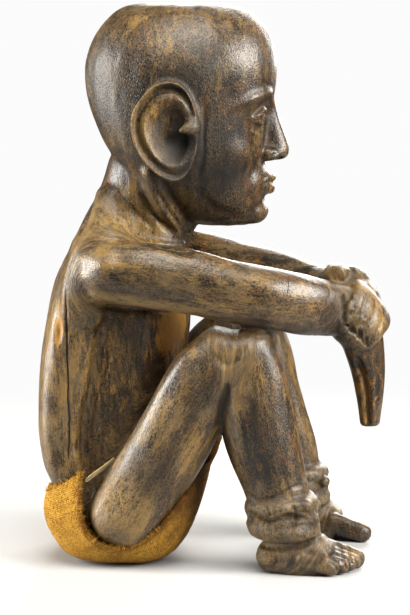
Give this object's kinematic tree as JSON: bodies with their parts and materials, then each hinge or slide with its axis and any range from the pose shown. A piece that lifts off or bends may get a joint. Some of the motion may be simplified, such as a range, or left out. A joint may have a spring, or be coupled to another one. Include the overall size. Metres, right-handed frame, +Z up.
{
  "type": "carved seated figure",
  "caption": "Carved dark wooden figure seated with raised knees, clasped hands resting over the knees, ringed ankles, and a worn ochre cloth slung under the hips.",
  "frame": {"origin": "on the ground, under the centre of the box that holds the whole object", "axes": "+Z up, the figure faces -Y, its left side is at +X"},
  "size_m": [0.12, 0.1904, 0.3],
  "materials": {
    "figure_wood": "dark brown hardwood with a worn half-gloss patina, ochre wear in the cuts and dry cracks",
    "ochre_cloth": "coarse hand-woven cotton dyed golden ochre, frayed at its edges",
    "straw_fibre": "flat pale straw-coloured plant fibre"
  },
  "bodies": {
    "root": {"figure": "figure_wood", "loincloth": "ochre_cloth", "waist_tie": "straw_fibre"}
  },
  "joints": []
}
